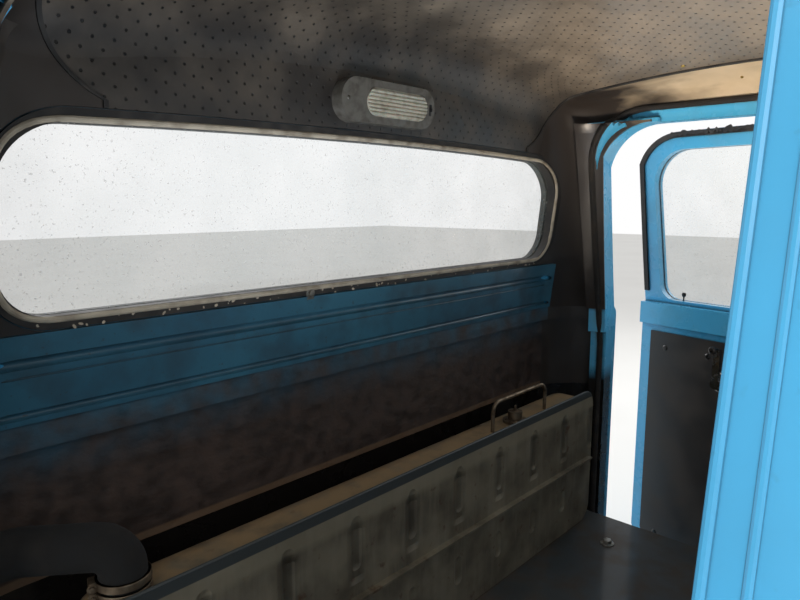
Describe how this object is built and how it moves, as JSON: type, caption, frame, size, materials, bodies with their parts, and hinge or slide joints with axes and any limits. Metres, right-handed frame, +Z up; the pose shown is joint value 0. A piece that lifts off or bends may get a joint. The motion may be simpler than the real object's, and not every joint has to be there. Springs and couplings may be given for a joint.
{
  "type": "pickup truck cab",
  "caption": "Steel pickup cab with hinged doors, wide rear window, perforated headliner, dome lamp, dash, steering and a fuel tank behind the space for the bench seat",
  "frame": {"origin": "centre of the four frame mount bolts, in the plane under the rubber mounts", "axes": "+X to the vehicle's left, +Y to its rear, +Z up"},
  "size_m": [2.5513, 1.3569, 1.4],
  "materials": {
    "cab_paint": "old sky blue enamel, semi-gloss, worn at the edges",
    "floor_paint": "dirty dark floor paint",
    "chassis_black": "satin black chassis paint",
    "mount_rubber": "matte moulded rubber",
    "tank_steel": "dull, dirty terne coated steel",
    "hose_rubber": "matte hose rubber",
    "window_glass": "clear safety glass with dust",
    "window_rubber": "hardened window rubber",
    "trim_board": "dark, lightly textured trim board",
    "headliner_board": "perforated dark headliner board",
    "lamp_metal": "grey lamp bezel",
    "lamp_lens": "ribbed translucent lens",
    "instrument_metal": "dark instrument face with a bright rim",
    "wheel_plastic": "hard moulded steering wheel",
    "bright_metal": "worn bright plate"
  },
  "bodies": {
    "cab": {"roof_panel": "cab_paint", "gutters": "cab_paint", "back_panel": "cab_paint", "rear_corner_left": "cab_paint", "rear_corner_right": "cab_paint", "hinge_pillar_left": "cab_paint", "hinge_pillar_right": "cab_paint", "cowl_top": "cab_paint", "firewall": "cab_paint", "sill_left": "cab_paint", "sill_right": "cab_paint", "floor_pan": "floor_paint", "cross_members": "chassis_black", "cab_mounts": "mount_rubber", "seat_riser": "floor_paint", "fuel_tank": "tank_steel", "tank_fittings": "tank_steel", "filler_pipe": "hose_rubber", "rear_glass": "window_glass", "rear_seal": "window_rubber", "rear_inner_panel": "cab_paint", "rear_board": "trim_board", "windscreen_glass": "window_glass", "windscreen_seal": "window_rubber", "headliner_centre": "headliner_board", "headliner_sides": "trim_board", "headliner_beads": "trim_board", "dome_lamp_bezel": "lamp_metal", "dome_lamp_lens": "lamp_lens", "dash_panel": "cab_paint", "instrument_cluster": "instrument_metal", "steering_column": "floor_paint", "pedals": "chassis_black", "wipers": "bright_metal", "gear_lever": "chassis_black", "hinge_leaves": "cab_paint"},
    "vent_lid": {"cowl_vent_lid": "cab_paint"},
    "glovebox_lid_body": {"glovebox_lid": "cab_paint"},
    "steering": {"steering_wheel": "wheel_plastic"},
    "door_left_body": {"door_shell_left": "cab_paint", "door_glass_left": "window_glass", "door_trim_left": "trim_board", "door_seal_left": "window_rubber", "door_hardware_left": "bright_metal"},
    "door_right_body": {"door_shell_right": "cab_paint", "door_glass_right": "window_glass", "door_trim_right": "trim_board", "door_seal_right": "window_rubber", "door_hardware_right": "bright_metal"}
  },
  "joints": [
    {"name": "door_left", "type": "hinge", "parent": "cab", "child": "door_left_body", "pos_m": [0.802, -0.33, 0.465], "axis": [0, 0, 1], "range_deg": [-52, 13]},
    {"name": "door_right", "type": "hinge", "parent": "cab", "child": "door_right_body", "pos_m": [-0.802, -0.33, 0.465], "axis": [0, 0, 1], "range_deg": [-60, 5]},
    {"name": "cowl_vent", "type": "hinge", "parent": "cab", "child": "vent_lid", "pos_m": [0, -0.578, 0.768], "axis": [1, 0, 0], "range_deg": [0, 30]},
    {"name": "glovebox", "type": "hinge", "parent": "cab", "child": "glovebox_lid_body", "pos_m": [-0.4, -0.401, 0.639], "axis": [-1, 0, 0], "range_deg": [0, 85]},
    {"name": "steering", "type": "hinge", "parent": "cab", "child": "steering", "pos_m": [0.38, -0.13, 0.78], "axis": [0, 0.6157, 0.788], "range_deg": [-720, 720]}
  ]
}
